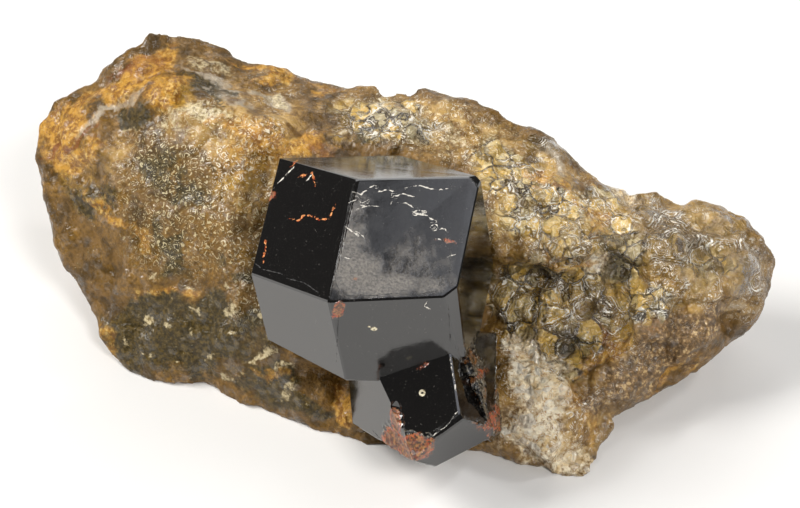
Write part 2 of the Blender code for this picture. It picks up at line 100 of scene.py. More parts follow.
# What the rock is made of, place by place, with a few painted shadows among the dark patches: (across, up, half
# width, half height, turn, strength).
MINERALS = {
    "iron": [
        (-31.5, 11.5, 3.5, 2.6, 30, 0.8), (-30.4, 8.8, 3.4, 1.6, 30, 0.75), (-24.5, 16.4, 4.5, 1.6, 38, 0.85),
        (-28.0, 14.6, 3.5, 1.0, 28, 0.7), (-21.8, 15.2, 2.0, 1.8, 20, 0.75), (-13.4, 11.2, 1.6, 2.4, 60, 0.75),
        (-9.6, 9.8, 4.2, 1.2, 6, 0.9), (-14.2, 8.6, 3.6, 2.0, 10, 0.5), (-11.4, 17.0, 6.0, 0.8, -14, 0.7),
        (-26.0, 3.2, 4.6, 0.8, -38, 0.6), (13.6, 6.4, 5.0, 0.5, -30, 0.85), (17.8, 3.0, 1.2, 2.2, 40, 0.75),
        (12.0, 0.6, 4.2, 0.7, -8, 0.45), (18.6, -8.6, 1.0, 2.0, -30, 0.95), (17.0, -9.8, 1.4, 0.8, 20, 0.8),
        (15.0, -0.8, 4.6, 0.45, 4, 0.6), (15.4, -12.6, 1.8, 2.2, 10, 0.5), (-20.0, -3.6, 4.6, 0.6, 10, 0.5),
        (-27.4, -8.2, 1.2, 3.0, 30, 0.5), (17.4, -16.0, 1.6, 2.2, 10, 0.45), (-5.4, -14.0, 1.0, 2.6, 0, 0.75),
        (-12.0, -11.4, 3.0, 0.8, -20, 0.5), (25.0, -11.2, 5.0, 0.7, 35, 0.45), (-16.4, 12.0, 1.8, 0.8, 0, 0.5),
    ],
    "rust": [
        (-26.2, 17.0, 2.0, 0.6, 30, 0.7), (-24.0, 17.8, 1.6, 0.7, 0, 0.5), (-7.6, 9.5, 1.8, 0.6, 0, 0.5),
        (18.4, -7.6, 0.5, 1.4, -20, 0.7), (-12.6, 10.8, 0.8, 1.4, 0, 0.5), (-31.0, 10.1, 3.6, 0.35, 22, 0.9),
        (22.8, -6.4, 1.6, 1.0, 0, 0.35), (-9.0, 17.2, 3.0, 0.4, -14, 0.45),
    ],
    "cream": [
        (-1.8, 13.4, 3.0, 0.8, -20, 0.45), (4.5, 11.0, 4.5, 1.2, -15, 0.4),
        (11.4, -8.6, 2.2, 2.0, 0, 0.85), (12.6, -12.0, 2.4, 4.0, 15, 0.95),
        (11.0, -15.6, 2.8, 2.0, -10, 0.85), (14.0, -18.0, 3.6, 2.0, -30, 0.8), (17.6, -0.8, 1.6, 1.4, -20, 0.75),
        (20.8, 5.2, 1.8, 1.4, 10, 0.6),
        
        (24.0, 2.4, 1.2, 0.8, 20, 0.4),
    ],
    "spots": [
        (-17.4, 12.9, 4.6, 0.7, -10, 0.8), (-20.8, 12.2, 1.4, 0.5, 20, 0.6), (-13.0, -9.0, 1.5, 0.5, 35, 0.85),
        (-14.6, -7.6, 0.9, 0.35, 20, 0.75), (-17.0, -9.4, 0.7, 0.3, 15, 0.8), (-10.8, -10.4, 1.2, 0.45, 40, 0.75),
        (-22.6, -1.2, 0.5, 0.4, 0, 0.8), (-18.2, -5.2, 0.6, 0.4, 30, 0.6), (-12.0, 14.2, 1.2, 0.6, 0, 0.7),
        (-19.2, -2.8, 0.6, 0.5, 0, 0.7), (-15.4, -5.0, 1.0, 0.8, 20, 0.7), (-22.2, -6.0, 0.7, 0.3, 0, 0.75),
        (-23.0, -9.6, 0.8, 0.3, 10, 0.7), (-19.8, -7.0, 0.35, 0.3, 0, 0.8), (-25.0, -8.0, 0.5, 0.3, 0, 0.7),
        (-16.0, -3.2, 0.5, 0.3, 0, 0.6), (-12.6, -5.6, 0.5, 0.6, 0, 0.7), (-20.4, -10.6, 0.5, 0.25, 0, 0.7),
        (-15.4, -11.4, 1.2, 0.4, 30, 0.7), (-25.6, 1.0, 0.3, 0.3, 0, 0.7), (-10.0, -12.6, 1.4, 0.4, 20, 0.7),
        (-24.4, 12.0, 1.2, 0.4, 30, 0.5), (-18.0, 17.4, 2.6, 0.5, -18, 0.5),
    ],
    "grey": [
        (-17.6, 16.0, 3.6, 0.7, -25, 0.75), (-12.6, 14.2, 3.0, 0.9, -10, 0.75), (-27.2, 12.6, 3.4, 0.5, 32, 0.8),
        (-24.6, 14.4, 2.6, 0.5, 40, 0.6), (-18.5, 19.2, 5.0, 1.0, -20, 0.35), (13.6, 8.6, 3.0, 1.0, -35, 0.6),
        (30.0, -5.2, 4.0, 1.0, 0, 0.35),
    ],
    "honey": [
        (14.0, 3.0, 8.0, 6.0, -20, 1.0), (26.0, 0.0, 9.0, 6.0, -10, 1.0), (15.0, -6.0, 8.0, 6.0, 0, 0.9),
        (2.0, 12.0, 9.0, 3.0, -12, 0.9), (-12.0, 13.0, 6.0, 3.0, -20, 0.7), (14.0, -14.0, 6.0, 5.0, 0, 0.9),
        (-14.5, 7.5, 4.0, 4.0, 0, 0.65), (-17.5, 11.0, 5.0, 2.0, -15, 0.7), (-27.0, 9.0, 4.0, 2.0, 20, 0.5),
        (-13.4, 0.0, 2.0, 5.0, 0, 0.35),
    ],
    "dark": [
        (-21.0, -8.0, 11.0, 4.2, 5, 0.75), (-12.0, -11.6, 3.4, 2.0, -20, 0.8), (-30.0, 6.0, 2.0, 2.4, 0, 0.4),
        (-28.6, 4.6, 2.6, 1.6, -10, 0.8), (-22.0, 7.2, 2.2, 2.6, 8, 0.65), (-19.0, 5.4, 2.2, 2.0, 0, 0.75),
        (-21.0, 0.2, 1.4, 2.6, 20, 0.75), (-22.6, -5.5, 4.5, 1.4, 10, 0.8), (-17.0, -5.4, 3.0, 1.6, 0, 0.8),
        (-20.6, -9.0, 4.4, 1.4, 10, 0.85), (-13.6, -6.4, 2.0, 2.0, 0, 0.7), (-24.4, -7.6, 2.0, 1.0, 0, 0.7),
        (-14.6, -1.6, 2.6, 1.0, -10, 0.6), (-2.4, 10.8, 1.5, 1.0, 20, 0.9), (-19.8, 15.8, 2.0, 0.7, -25, 0.85),
        # painted shadow: the thin patches at (12.0, -1.4) and (16.6, 0.0) under the bulge's ledge and the narrow
        # band at (7.9, -2.5) beside the large garnet
        (-17.0, 15.0, 1.6, 0.6, -25, 0.9), (-24.6, 12.8, 1.3, 0.8, 40, 0.85), (12.0, -1.4, 4.4, 0.35, -3, 0.95), (16.6, 0.0, 1.8, 0.35, 40, 0.9), (7.9, -2.5, 0.5, 7.0, 3, 0.5),
        (13.0, -2.6, 4.6, 0.9, 4, 0.7), (17.0, -4.0, 1.4, 1.4, 0, 0.8), (16.0, -9.4, 2.4, 0.8, -15, 0.9),
        (22.3, -5.4, 1.6, 0.6, 10, 0.9), (19.4, 0.4, 0.8, 2.4, 35, 0.85), (-9.6, -13.8, 4.4, 1.2, -15, 0.7),
        (18.6, 2.6, 1.4, 0.7, -20, 0.7), (-28.6, -1.4, 2.0, 2.4, 0, 0.35), (10.6, -8.0, 1.6, 0.6, 0, 0.85),
        (12.4, -4.4, 1.6, 1.0, 0, 0.6), (16.2, 9.0, 1.6, 0.6, -35, 0.5), (-12.6, -11.2, 2.4, 1.0, 0, 0.7),
    ],
    "gold": [
        (19.6, -3.6, 1.4, 1.6, 20, 0.85), (12.2, -3.2, 2.4, 1.0, 10, 0.45), (20.2, -6.6, 0.9, 1.2, 0, 0.7),
        (20.6, 5.2, 1.2, 1.0, 10, 0.5), (15.0, -5.4, 4.0, 2.6, 0, 0.5), (-20.8, 14.2, 2.2, 1.2, 20, 0.6),
        (14.0, 2.2, 4.4, 2.2, -10, 0.45), (9.6, 4.6, 1.6, 3.0, 0, 0.4), (-14.0, 6.4, 3.2, 3.0, 0, 0.5),
        (-30.0, 7.0, 2.4, 2.0, 0, 0.35), (-16.0, 9.8, 3.6, 1.0, 0, 0.4), (18.4, 4.4, 2.4, 0.9, -30, 0.5),
        (3.0, 13.4, 5.0, 0.8, -12, 0.35),
    ],
    "fleck": [
        (-19.0, 8.4, 6.0, 4.2, -10, 1.0), (-15.0, 4.0, 5.0, 6.0, 0, 1.0), (-20.0, 2.0, 5.5, 4.0, 0, 0.7),
        (-13.0, -2.0, 2.6, 5.0, 0, 0.7), (-24.5, 7.0, 3.0, 3.5, 0, 0.6), (-14.6, 10.6, 5.0, 2.6, -25, 0.9),
        (9.5, 4.0, 3.0, 4.0, 0, 0.8), (3.0, 11.6, 8.0, 2.8, -10, 0.9), (-18.0, -7.0, 7.0, 3.5, 15, 0.2),
        (13.6, 4.0, 4.4, 2.5, -20, 0.7), (12.0, -12.0, 3.0, 5.0, 0, 0.5), (18.0, 2.0, 2.6, 2.6, 0, 0.6),
    ],
    "brown": [
        (23.5, -9.0, 6.0, 2.6, 38, 0.95), (27.5, -5.8, 3.4, 1.4, 20, 0.7), (17.5, -13.6, 2.6, 1.8, 0, 0.75),
        (20.0, -11.6, 3.5, 1.6, 35, 0.95),
    ],
    "grain": [
        (15.0, -4.6, 6.0, 4.4, 0, 1.0), (19.6, -1.0, 2.4, 4.0, 0, 1.0), (21.5, -4.5, 3.0, 2.0, 0, 0.9),
        (13.0, 3.4, 4.6, 3.4, -20, 0.8), (14.8, -9.4, 3.0, 1.6, 0, 1.0), (-0.5, 12.0, 6.0, 2.2, -10, 0.6),
        (10.0, 7.4, 4.0, 2.0, -30, 0.7), (28.5, -0.6, 3.2, 2.0, -10, 0.4), (18.6, 4.6, 2.6, 1.2, -20, 0.6),
    ],
    "clear": [
        (26.6, 0.6, 6.0, 3.4, -10, 1.0), (21.8, 4.4, 2.4, 1.6, -10, 0.7), (23.4, 1.8, 2.6, 2.6, -30, 1.0),
        (31.2, -1.6, 2.4, 2.6, 0, 0.9), (13.0, 9.8, 2.0, 1.2, -30, 1.0),
    ],
}


# Broken ledges of the show face, each as points (across, up) with the left side of its course standing out,
# and how far it stands out. Just below each ledge a painted shadow line is laid into the colour, darker the
# further the ledge stands out.
LEDGES = [
    ([(7.5, -0.7), (10.1, -0.9), (12.8, -0.7), (15.0, -0.2), (16.5, 0.9), (17.6, 2.1)], 0.9),
    ([(21.1, -2.7), (22.9, -3.7), (25.5, -4.0), (28.6, -4.0), (32.1, -3.2)], 0.5),
    ([(16.7, -0.7), (18.7, -2.5), (19.5, -1.4), (19.0, 0.4)], 0.5),
    ([(15.8, -12.8), (15.1, -10.9), (14.1, -8.6), (11.9, -7.5), (8.8, -7.4)], 0.5),
    ([(23.3, -4.0), (21.1, -5.6), (20.4, -8.0), (17.6, -10.4), (16.7, -12.4)], 0.4),
    ([(-10.1, 10.5), (-13.2, 12.5), (-17.6, 13.7), (-22.0, 13.2), (-25.5, 11.6)], 0.35),
    ([(21.6, 4.4), (23.6, 2.2), (25.2, -0.6), (25.8, -3.6)], 0.5),
]


def wandering(places, size, reach):
    """The places moved about by noise, so that what is laid over them gets a natural edge."""
    moved = places.copy()
    for axis, shift in enumerate((0.0, 37.1, 71.9)):
        moved[:, axis] += [noise.noise(Vector(p) / size + Vector((shift, 0, 0))) * reach for p in places]
    return moved


def minerals(places):
    """How much of each mineral and stain there is at each place, from 0 to 1."""
    spread = wandering(wandering(places, 2.6, 1.6), 0.8, 0.7)
    found = {}
    for name, patches in MINERALS.items():
        amount = np.zeros(len(places))
        for across, up, half_width, half_height, turn, strength in patches:
            c, s = math.cos(math.radians(turn)), math.sin(math.radians(turn))
            x = ((spread[:, 0] - across) * c + (spread[:, 1] - up) * s) / half_width
            y = ((spread[:, 1] - up) * c - (spread[:, 0] - across) * s) / half_height
            near = np.clip(1.45 - np.sqrt(x * x + y * y), 0.0, 1.0) * strength
            amount = np.maximum(amount, near)
        found[name] = amount
    return found


def distance_to_lines(places, lines, reach):
    """The distance across the face to the nearest of the lines, with a sign that tells the side of it."""
    nearest = np.full(len(places), np.inf)
    for line in lines:
        for (x1, y1), (x2, y2) in zip(line, line[1:]):
            along = np.array((x2 - x1, y2 - y1))
            length = np.linalg.norm(along)
            along = along / length
            from_start = places[:, :2] - (x1, y1)
            across = from_start[:, 0] * along[1] - from_start[:, 1] * along[0]
            beyond = np.abs(from_start @ along - length / 2) - length / 2
            distance = np.hypot(across, np.clip(beyond, 0.0, None))
            closer = distance < np.abs(nearest)
            nearest[closer] = np.where(across[closer] < 0, -distance[closer], distance[closer])
    return np.clip(nearest, -reach, reach)


def facet(place, size):
    """How far a fracture facet stands out here, in facet sizes: a tilted plane for each cell of a pattern."""
    distances, seeds = noise.voronoi(place / size)
    own = min(1.0, (distances[1] - distances[0]) / 0.1) * 0.5 + 0.5
    stands = 0.0
    for seed, share in ((seeds[0], own), (seeds[1], 1.0 - own)):
        tilt = Vector((noise.noise(seed * 1.7), noise.noise(seed * 2.3), noise.noise(seed * 2.9)))
        stands += ((place / size - seed).dot(tilt) * 1.2 + noise.noise(seed * 3.1) * 0.7) * share
    return stands


def matrix_piece():
    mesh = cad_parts["quartz_matrix"].data.copy()
    bm = bmesh.new()
    bm.from_mesh(mesh)
    bmesh.ops.remove_doubles(bm, verts=bm.verts, dist=1e-7)
    bm.to_mesh(mesh)
    bm.free()
    mesh.transform(Matrix.Scale(1.0 / MM, 4))
    coarse = bpy.data.objects.new("coarse_rock", mesh)
    bpy.context.scene.collection.objects.link(coarse)
    grid = coarse.modifiers.new("grid", "REMESH")
    grid.mode = "VOXEL"
    grid.voxel_size = MESH_GRID
    mesh = bpy.data.meshes.new_from_object(coarse.evaluated_get(bpy.context.evaluated_depsgraph_get()))
    bpy.data.objects.remove(coarse)
    mesh.transform(Matrix.Scale(MM, 4))

    places = face_places(mesh)
    found = minerals(places)
    crystals = BVHTree.FromPolygons(
        [v.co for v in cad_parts["garnet_crystals"].data.vertices],
        [p.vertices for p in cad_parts["garnet_crystals"].data.polygons],
    )
    low, high = (Vector(corner) for corner in cad_box)
    stepped, painted_ledge_shadow = np.zeros(len(places)), np.zeros(len(places))
    wavy = wandering(places, 1.6, 0.7)
    for line, stands_out in LEDGES:
        away = distance_to_lines(wavy, [line], 3.0)
        fades = np.clip(1.0 - np.abs(away) / 3.0, 0.0, 1.0) ** 2 * (places[:, 2] > 0.0)
        stepped += np.clip(-away / 0.3, -0.6, 1.0) * fades * stands_out
        # painted shadow: a dark line just below each ledge, darker the further it stands out
        painted_ledge_shadow = np.maximum(painted_ledge_shadow, np.exp(-((away - 0.25) / 0.25) ** 2) * (places[:, 2] > 0.0) * stands_out)
    found["painted_ledge_shadow"] = painted_ledge_shadow
    moved = []
    for i, vert in enumerate(mesh.vertices):
        spot = vert.co / MM
        grainy, granular = found["grain"][i], max(found["brown"][i], found["cream"][i] * 0.6)
        relief = facet(spot, 2.2) * (0.2 + 0.6 * grainy) + facet(spot, 3.6) * (0.2 + 0.5 * found["clear"][i])
        relief += facet(spot, 0.95) * (0.08 + 0.3 * grainy) * (1.0 - 0.7 * found["clear"][i])
        relief += noise.fractal(spot / 0.7, 1.0, 2.0, 3) * (0.06 + 0.16 * granular) + stepped[i]
        relief += facet(spot, 2.8) * 0.5 * found["iron"][i]
        near, _, _, distance = crystals.find_nearest(vert.co, CONTACT_REACH * MM)
        if near is None:
            stands = vert.co + vert.normal * relief * MM
        elif distance < 0.5 * MM:
            stands = near + (near - vert.co).normalized() * 0.03 * MM
        else:
            stands = vert.co.copy()
        moved.extend(min(max(stands[axis], low[axis]), high[axis]) for axis in range(3))
    mesh.vertices.foreach_set("co", moved)
    mesh.update()
    mesh.set_sharp_from_angle(angle=math.radians(24.0))
    for name, amount in found.items():
        mesh.attributes.new(name, "FLOAT", "POINT").data.foreach_set("value", amount.astype(np.float32))
    mesh.materials.clear()
    piece = bpy.data.objects.new("matrix_rock", mesh)
    bpy.context.scene.collection.objects.link(piece)
    return piece


def stained_quartz():
    """Smoky quartz and feldspar, broken and iron stained: glassy in the grains, dull where it is weathered,
    with painted glints at the rims of glassy grains and painted shade between grains and under the ledges.
    """
    made = bpy.data.materials.new("stained_quartz")
    made.use_nodes = True
    tree = made.node_tree
    shader = tree.nodes["Principled BSDF"]
    place = node(tree, "ShaderNodeTexCoord").outputs["Object"]

    def amount(name):
        return node(tree, "ShaderNodeAttribute", attribute_name=name).outputs["Fac"]

    def noise_at(size_mm, detail=4.0, rough=0.6, warp=0.0):
        return node(tree, "ShaderNodeTexNoise", {
            "Vector": place, "Scale": 1.0 / (size_mm * MM), "Detail": detail, "Roughness": rough,
            "Distortion": warp,
        }).outputs["Fac"]

    def maths(operation, a, b=0.0, clamp=False):
        made = node(tree, "ShaderNodeMath", {0: a, 1: b}, operation=operation, use_clamp=clamp)
        return made.outputs[0]

    def spread(value, low, high, to_low=0.0, to_high=1.0):
        return node(tree, "ShaderNodeMapRange", {
            "Value": value, "From Min": low, "From Max": high, "To Min": to_low, "To Max": to_high,
        }, interpolation_type="SMOOTHSTEP").outputs["Result"]

    def blend(share, below, above):
        mix = node(tree, "ShaderNodeMix", data_type="RGBA")
        for socket, value in zip((mix.inputs[0], mix.inputs[6], mix.inputs[7]), (share, below, above)):
            if isinstance(value, bpy.types.NodeSocket):
                tree.links.new(value, socket)
            else:
                socket.default_value = linear(value) if isinstance(value, str) else value
        return mix.outputs[2]

    def laid(name, edge_noise, sharp=0.35):
        """The amount of a mineral with its edge broken up by noise."""
        broken = maths("ADD", amount(name), maths("MULTIPLY", maths("SUBTRACT", edge_noise, 0.5), 1.1))
        return spread(broken, 0.5 - sharp, 0.5 + sharp)

    fine = noise_at(0.4, 5.0, 0.65)
    middle = noise_at(1.4, 5.0, 0.65, 0.5)
    coarse = noise_at(4.5, 4.0, 0.6, 0.6)
    patchy = noise_at(2.8, 3.0, 0.5)
    grain, clear = amount("grain"), amount("clear")

    def broken_glass(size_mm, ripples, near_rim):
        """Rounded grains of glass: how each stands out, its tone and chance, the streaks at its rim, which are used
        as
            painted glints and as pale hairs, and the gap between grains, which is painted dark as shade.
        """
        scaled = node(tree, "ShaderNodeVectorMath", {0: place, "Scale": 1.0 / (size_mm * MM)}, operation="SCALE")
        bend = node(tree, "ShaderNodeTexNoise", {"Vector": scaled.outputs[0], "Scale": 1.6, "Detail": 2.0})
        bent = node(tree, "ShaderNodeVectorMath", {
            0: bend.outputs["Color"], 1: (0.5, 0.5, 0.5), 2: scaled.outputs[0],
        }, operation="MULTIPLY_ADD").outputs[0]
        cells = node(tree, "ShaderNodeTexVoronoi", {"Vector": bent, "Scale": 1.0})
        rim = node(tree, "ShaderNodeTexVoronoi", {"Vector": bent, "Scale": 1.0}, feature="DISTANCE_TO_EDGE")
        rim = rim.outputs["Distance"]
        offset = node(tree, "ShaderNodeVectorMath", {0: bent, 1: cells.outputs["Position"]},
                      operation="SUBTRACT").outputs[0]
        tilt = node(tree, "ShaderNodeVectorMath", {0: cells.outputs["Color"], 1: (0.5, 0.5, 0.5)},
                    operation="SUBTRACT").outputs[0]
        slope = node(tree, "ShaderNodeVectorMath", {0: offset, 1: tilt}, operation="DOT_PRODUCT").outputs["Value"]
        ripple = maths("SINE", maths("ADD", maths("MULTIPLY", rim, ripples), maths("MULTIPLY", fine, 5.0)))
        streaks = maths("MULTIPLY", spread(ripple, 0.1, 0.5), spread(noise_at(size_mm * 0.5, 3.0), 0.46, 0.53))
        streaks = maths("MULTIPLY", streaks, maths("SUBTRACT", 1.0, spread(rim, near_rim * 0.4, near_rim)))
        height = maths("ADD", slope, maths("MULTIPLY", spread(rim, 0.0, near_rim), 0.16))
        height = maths("ADD", height, maths("MULTIPLY", ripple, 0.018))
        # painted shade: how dark the gap between two grains is painted
        gap = maths("SUBTRACT", 1.0, spread(rim, 0.01, 0.08))
        tone = node(tree, "ShaderNodeSeparateXYZ", {0: cells.outputs["Color"]}).outputs
        return height, tone[0], tone[1], streaks, gap

    crumb_height, crumb_tone, crumb_chance, crumb_hair_and_glint_streaks, _ = broken_glass(0.7, 22.0, 0.5)
    grain_height, grain_tone, grain_chance, grain_glint_streaks, grain_gap_shade = broken_glass(2.1, 52.0, 0.28)
    shell_height, shell_tone, shell_chance, shell_glint_streaks, shell_gap_shade = broken_glass(3.6, 80.0, 0.2)
    glassy = maths("MAXIMUM", grain, clear)

    colour = blend(spread(middle, 0.38, 0.62), "#4A3614", "#78592A")
    colour = blend(spread(coarse, 0.42, 0.62), colour, blend(spread(fine, 0.35, 0.65), "#62481F", "#8E6B34"))
    honey = blend(spread(middle, 0.36, 0.62), "#6E4E1E", blend(spread(fine, 0.35, 0.65), "#916C30", "#BF9A56"))
    honey = blend(spread(noise_at(3.2, 3.0), 0.5, 0.6), honey, blend(fine, "#A47C3C", "#CDAA66"))
    colour = blend(laid("honey", coarse, 0.3), colour, honey)
    # the dark patches are mostly smoky quartz; those under the bulge's ledge and beside the large garnet are painted
    # shadow, here and below
    colour = blend(laid("dark", middle, 0.2), colour, blend(spread(fine, 0.4, 0.65), "#3E341C", "#7A6536"))
    shell = blend(shell_tone, "#5C461C", blend(crumb_tone, "#927230", "#B8984C"))
    # painted shade between the glassy shells
    shell = blend(maths("MULTIPLY", shell_gap_shade, 0.7), shell, "#4A3820")
    shell = blend(maths("MULTIPLY", spread(patchy, 0.5, 0.62), 0.5), shell, "#5E4A28")
    colour = blend(maths("MULTIPLY", clear, 0.85), colour, shell)
    glass = blend(spread(grain_tone, 0.2, 0.75), "#33260A", blend(middle, "#B4872C", "#FFD872"))
    glass = blend(maths("MULTIPLY", spread(crumb_tone, 0.4, 0.8), 0.45), glass, "#F6E4AC")
    # painted shade between grains, and random dark crumbs
    shaded_gaps_and_dark_crumbs = maths("MAXIMUM", grain_gap_shade, maths("MULTIPLY", maths("GREATER_THAN", crumb_chance, 0.7), 0.6))
    colour = blend(maths("MULTIPLY", spread(grain, 0.15, 0.55), 0.9), colour, blend(shaded_gaps_and_dark_crumbs, glass, "#2A1E0A"))
    colour = blend(maths("MULTIPLY", laid("dark", middle, 0.2), 0.45), colour, "#2E2613")
    colour = blend(maths("MULTIPLY", laid("grey", middle, 0.2), 0.8), colour, blend(fine, "#8A7C68", "#CDBFA8"))
    fracture = blend(spread(fine, 0.35, 0.65), "#5A4428", "#A07E52")
    fracture = blend(maths("MULTIPLY", spread(noise_at(0.4, 3.0, 0.6), 0.56, 0.64), 0.7), fracture, "#D8BC88")
    fracture = blend(maths("MULTIPLY", maths("GREATER_THAN", crumb_chance, 0.72), 0.5), fracture, "#3C2C18")
    colour = blend(laid("brown", coarse, 0.25), colour, fracture)
    pale = blend(spread(fine, 0.3, 0.56), "#AA7E42", blend(spread(middle, 0.3, 0.6), "#ECCD94", "#FFF2D4"))
    pale = blend(spread(crumb_tone, 0.6, 0.9, 0.0, 0.7), pale, "#FFF8E8")
    pale = blend(maths("MULTIPLY", spread(crumb_chance, 0.7, 0.8), 0.5), pale, "#A07C48")
    colour = blend(laid("cream", fine, 0.25), colour, pale)
    colour = blend(maths("MULTIPLY", laid("spots", fine, 0.25), 0.85), colour, blend(spread(fine, 0.35, 0.6), "#8C774C", "#DCCBA2"))
    colour = blend(maths("MULTIPLY", laid("gold", middle), 0.6), colour,
                   blend(spread(fine, 0.35, 0.65), "#8E6616", "#E0B248"))
    ochre = blend(spread(noise_at(0.9, 4.0, 0.7), 0.42, 0.6), "#8A5A1A", "#D09A3A")
    ochre = blend(spread(fine, 0.5, 0.64), ochre, blend(spread(coarse, 0.4, 0.6), "#D2A04A", "#E6C070"))
    colour = blend(maths("MULTIPLY", laid("iron", middle, 0.25), 0.85), colour, ochre)
    colour = blend(maths("MULTIPLY", laid("rust", fine, 0.3), 0.75), colour, "#7A3E14")

    hairs = maths("MULTIPLY", crumb_hair_and_glint_streaks, spread(amount("fleck"), 0.1, 0.8))
    dust = maths("MULTIPLY", spread(noise_at(0.3, 3.0, 0.6), 0.68, 0.72), 0.5)
    # painted glints: near-white streaks at the rims of glassy grains, broken shells and honey-coloured quartz stand
    # in for highlights
    sparkling = maths("MULTIPLY", spread(patchy, 0.4, 0.5), maths("GREATER_THAN", grain_chance, 0.25))
    glints = maths("MULTIPLY", maths("MULTIPLY", grain_glint_streaks, spread(grain, 0.2, 0.6)), sparkling)
    broken_rim_glints = maths("MULTIPLY", maths("MULTIPLY", shell_glint_streaks, spread(clear, 0.2, 0.6)), spread(patchy, 0.47, 0.55))
    glints = maths("MAXIMUM", glints, broken_rim_glints)
    sugar_glints = maths("MULTIPLY", crumb_hair_and_glint_streaks, maths("MULTIPLY", amount("honey"), spread(patchy, 0.45, 0.56)))
    glints = maths("MAXIMUM", glints, maths("MULTIPLY", sugar_glints, 0.75))
    colour = blend(maths("MULTIPLY", maths("MAXIMUM", hairs, dust), 0.66), colour, "#EADBAE")
    colour = blend(maths("MULTIPLY", glints, 0.95), colour, "#FFFAEC")
    # painted shadow: the colour is darkened along the lower side of each ledge
    ledge_shadow_share = maths("MULTIPLY", spread(amount("painted_ledge_shadow"), 0.1, 0.8), spread(fine, 0.4, 0.6, 0.3, 0.95))
    colour = blend(ledge_shadow_share, colour, "#241A0A")
    tree.links.new(colour, shader.inputs["Base Color"])

    height = maths("MULTIPLY", crumb_height, maths("ADD", maths("MULTIPLY", maths("MAXIMUM", glassy, amount("cream")), 1.5), 0.4))
    height = maths("ADD", height, maths("MULTIPLY", grain_height, maths("ADD", maths("MULTIPLY", grain, 2.9), 0.4)))
    height = maths("ADD", height, maths("MULTIPLY", shell_height, maths("ADD", maths("MULTIPLY", clear, 4.6), 0.4)))
    height = maths("ADD", height, maths("MULTIPLY", noise_at(0.3, 3.0, 0.6), 0.16))
    bump = node(tree, "ShaderNodeBump", {"Height": height, "Strength": 1.0, "Distance": 0.5 * MM})
    tree.links.new(bump.outputs[0], shader.inputs["Normal"])
    tree.links.new(bump.outputs[0], shader.inputs["Coat Normal"])

    gloss = maths("MAXIMUM", glassy, maths("GREATER_THAN", grain_chance, 0.7))
    rough = node(tree, "ShaderNodeMix", {
        0: gloss, 2: spread(middle, 0.3, 0.7, 0.3, 0.55), 3: spread(crumb_chance, 0.3, 0.8, 0.1, 0.24),
    }, data_type="FLOAT").outputs[0]
    dull = maths("MAXIMUM", maths("MULTIPLY", laid("iron", middle), 0.7), maths("MULTIPLY", amount("brown"), 0.7))
    rough = node(tree, "ShaderNodeMix", {0: dull, 2: rough, 3: 0.6}, data_type="FLOAT").outputs[0]
    tree.links.new(rough, shader.inputs["Roughness"])
    shader.inputs["IOR"].default_value = 1.54
    shader.inputs["Specular IOR Level"].default_value = 0.3
    glazed = maths("MAXIMUM", spread(glassy, 0.2, 0.6), maths("MULTIPLY", amount("honey"), 0.5))
    glazed = maths("MAXIMUM", glazed, maths("MULTIPLY", maths("GREATER_THAN", crumb_chance, 0.75), 0.4))
    tree.links.new(glazed, shader.inputs["Coat Weight"])
    shader.inputs["Coat IOR"].default_value = 1.85
    shader.inputs["Coat Roughness"].default_value = 0.05
    return made


rock = matrix_piece()
rock.data.materials.append(stained_quartz())
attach(rock, "root")
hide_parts("quartz_matrix")

# ---- Garnet crystals ----------------------------------------------------------------------------------------
# Black garnet, grown in the rock: one large rhombic dodecahedron, a smaller one with its front corner broken
# off, and crumbled garnet between that and the rock. The faces are flat and glassy, with fine growth steps
# along their edges, chips and a frosted patch; in chips and cracks the stone's deep red shows. The red flashes
# from inner cracks, the orange glow at thin broken rims and the pale glints on the crumbs are painted light.
MARK_GRID = 0.28          # the faces are divided this finely, to carry their marks
CRUMB_SIZE = 0.7
SATIN_FACE = (0.299, 0.301, 0.906)   # the front face of the large crystal is less glossy than the others
CRYSTAL_FACES = [         # the way the flat faces look; what looks another way is bevelled or broken
    (-0.658, 0.402, 0.636), (0.299, 0.301, 0.906), (0.044, 0.976, 0.214), (-0.702, -0.573, 0.422),
    (0.255, -0.675, 0.692), (0.957, -0.102, 0.269), (-0.045, 0.240, 0.970), (-0.873, -0.320, 0.367),
    (0.533, -0.639, 0.555), (0.820, 0.249, 0.516), (0.668, -0.452, 0.593), (0.301, -0.240, 0.923),
]

